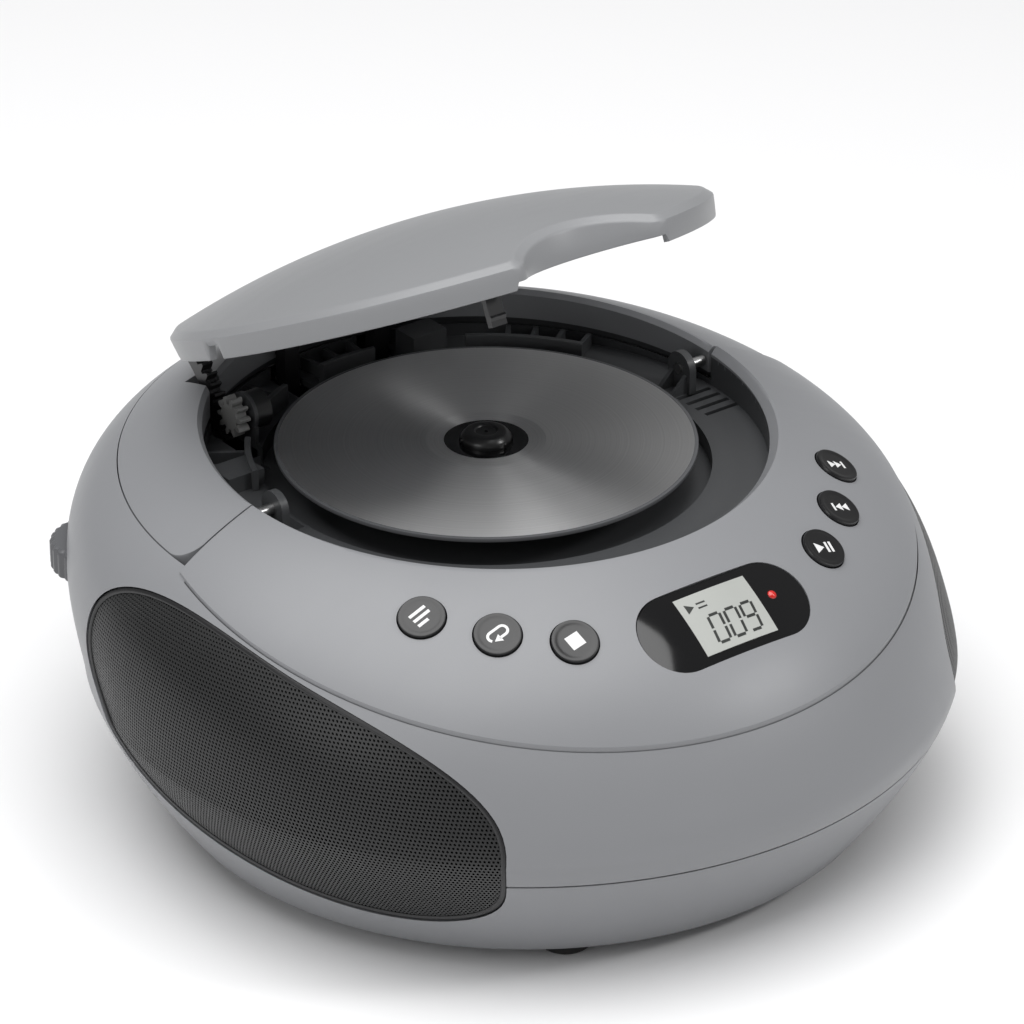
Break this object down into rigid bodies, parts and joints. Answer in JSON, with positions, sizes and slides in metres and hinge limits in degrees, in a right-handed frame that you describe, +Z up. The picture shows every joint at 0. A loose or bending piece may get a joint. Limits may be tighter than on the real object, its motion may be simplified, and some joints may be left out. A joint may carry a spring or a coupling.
{
  "type": "portable cd player",
  "caption": "Round pebble-shaped portable disc player with open sprung lid, disc well, display, keys, side speakers and a folded carry handle.",
  "frame": {"origin": "on the resting plane, under the centre of the case's widest circle", "axes": "+Z up, +X to the player's right, the front faces -Y"},
  "size_m": [0.2484, 0.2601, 0.1803],
  "materials": {
    "case_grey": "satin cool grey",
    "dark_grey": "satin dark grey",
    "black_plastic": "satin black",
    "light_plastic": "natural",
    "gloss_black": "gloss black",
    "lcd": "pale green-grey screen",
    "red_lamp": "red lens",
    "disc_silver": "brushed silver disc",
    "steel": "plain steel",
    "rubber": "black rubber",
    "board_green": "circuit board",
    "grille": "dark perforated sheet",
    "paper": "pressed paper cone"
  },
  "bodies": {
    "case": {"lower_case": "case_grey", "upper_case": "case_grey", "handle_tray": "dark_grey", "control_panel": "case_grey", "carry_handle": "case_grey", "handle_pins": "steel", "well_wall": "dark_grey", "disc_well": "dark_grey", "handle_brackets": "dark_grey", "inner_frame": "black_plastic", "case_screws": "steel", "rubber_feet": "rubber", "hinge_pin": "steel", "hinge_bosses": "dark_grey", "lid_spring": "steel", "damper_body": "black_plastic", "damper_bracket": "dark_grey", "spindle_motor": "steel", "sled_rails": "steel", "mechanism_deck": "steel", "deck_dampers": "rubber", "key_switches": "board_green", "display_window": "gloss_black", "lcd_glass": "lcd", "status_led": "red_lamp", "volume_potentiometer": "black_plastic", "main_board": "board_green", "board_parts": "black_plastic", "power_transformer": "steel", "power_inlet": "black_plastic", "rear_jacks": "black_plastic", "left_grille": "grille", "right_grille": "grille", "left_speaker_frame": "steel", "right_speaker_frame": "steel", "left_speaker_cone": "paper", "right_speaker_cone": "paper", "battery_door": "case_grey", "battery_tray": "black_plastic", "battery_contacts": "steel"},
    "lid": {"lid_cover": "case_grey", "lid_hinge_arms": "dark_grey", "lid_sector": "dark_grey", "lid_catch": "dark_grey"},
    "damper_rotor": {"damper_gear": "light_plastic"},
    "disc_rotor": {"compact_disc": "disc_silver", "spindle_hub": "black_plastic"},
    "sled": {"optical_sled": "black_plastic"},
    "mode_knob": {"mode_switch": "black_plastic"},
    "volume_dial": {"volume_wheel": "black_plastic"},
    "latch": {"door_latch": "dark_grey"},
    "program_button": {"program_key": "black_plastic"},
    "repeat_button": {"repeat_key": "black_plastic"},
    "stop_button": {"stop_key": "black_plastic"},
    "next_button": {"next_key": "black_plastic"},
    "back_button": {"back_key": "black_plastic"},
    "play_pause_button": {"play_pause_key": "black_plastic"}
  },
  "joints": [
    {"name": "lid_hinge", "type": "hinge", "parent": "case", "child": "lid", "pos_m": [0, 0.1103, 0.0861], "axis": [1, 0, 0], "range_deg": [0, 28.2], "stiffness_Nm_per_rad": 0.06, "springref_deg": -68.75},
    {"name": "damper_spin", "type": "hinge", "parent": "case", "child": "damper_rotor", "pos_m": [-0.05, 0.07072, 0.1029], "axis": [1, 0, 0], "range_deg": [-215, 0]},
    {"name": "disc_spin", "type": "hinge", "parent": "case", "child": "disc_rotor", "pos_m": [0, 0.018, 0.1], "axis": [0, 0, 1], "continuous": true},
    {"name": "sled_slide", "type": "slide", "parent": "case", "child": "sled", "axis": [1, 0, 0], "range_m": [-0.006, 0.022]},
    {"name": "mode_slide", "type": "slide", "parent": "case", "child": "mode_knob", "axis": [1, 0, 0], "range_m": [0, 0.008]},
    {"name": "volume_turn", "type": "hinge", "parent": "case", "child": "volume_dial", "pos_m": [-0.09, 0.08, 0.0685], "axis": [0, 0, 1], "range_deg": [-140, 140]},
    {"name": "latch_slide", "type": "slide", "parent": "case", "child": "latch", "axis": [0, 1, 0], "range_m": [0, 0.0025], "stiffness_N_per_m": 200},
    {"name": "program_press", "type": "slide", "parent": "case", "child": "program_button", "axis": [0.3343, 0.3375, -0.88], "range_m": [0, 0.001], "stiffness_N_per_m": 300},
    {"name": "repeat_press", "type": "slide", "parent": "case", "child": "repeat_button", "axis": [0.2814, 0.4181, -0.8637], "range_m": [0, 0.001], "stiffness_N_per_m": 300},
    {"name": "stop_press", "type": "slide", "parent": "case", "child": "stop_button", "axis": [0.2092, 0.4841, -0.8497], "range_m": [0, 0.001], "stiffness_N_per_m": 300},
    {"name": "next_press", "type": "slide", "parent": "case", "child": "next_button", "axis": [-0.3343, 0.3375, -0.88], "range_m": [0, 0.001], "stiffness_N_per_m": 300},
    {"name": "back_press", "type": "slide", "parent": "case", "child": "back_button", "axis": [-0.2814, 0.4181, -0.8637], "range_m": [0, 0.001], "stiffness_N_per_m": 300},
    {"name": "play_pause_press", "type": "slide", "parent": "case", "child": "play_pause_button", "axis": [-0.2092, 0.4841, -0.8497], "range_m": [0, 0.001], "stiffness_N_per_m": 300}
  ],
  "couplings": [
    {"joint": "damper_spin", "follows": "lid_hinge", "ratio": -7.6}
  ]
}
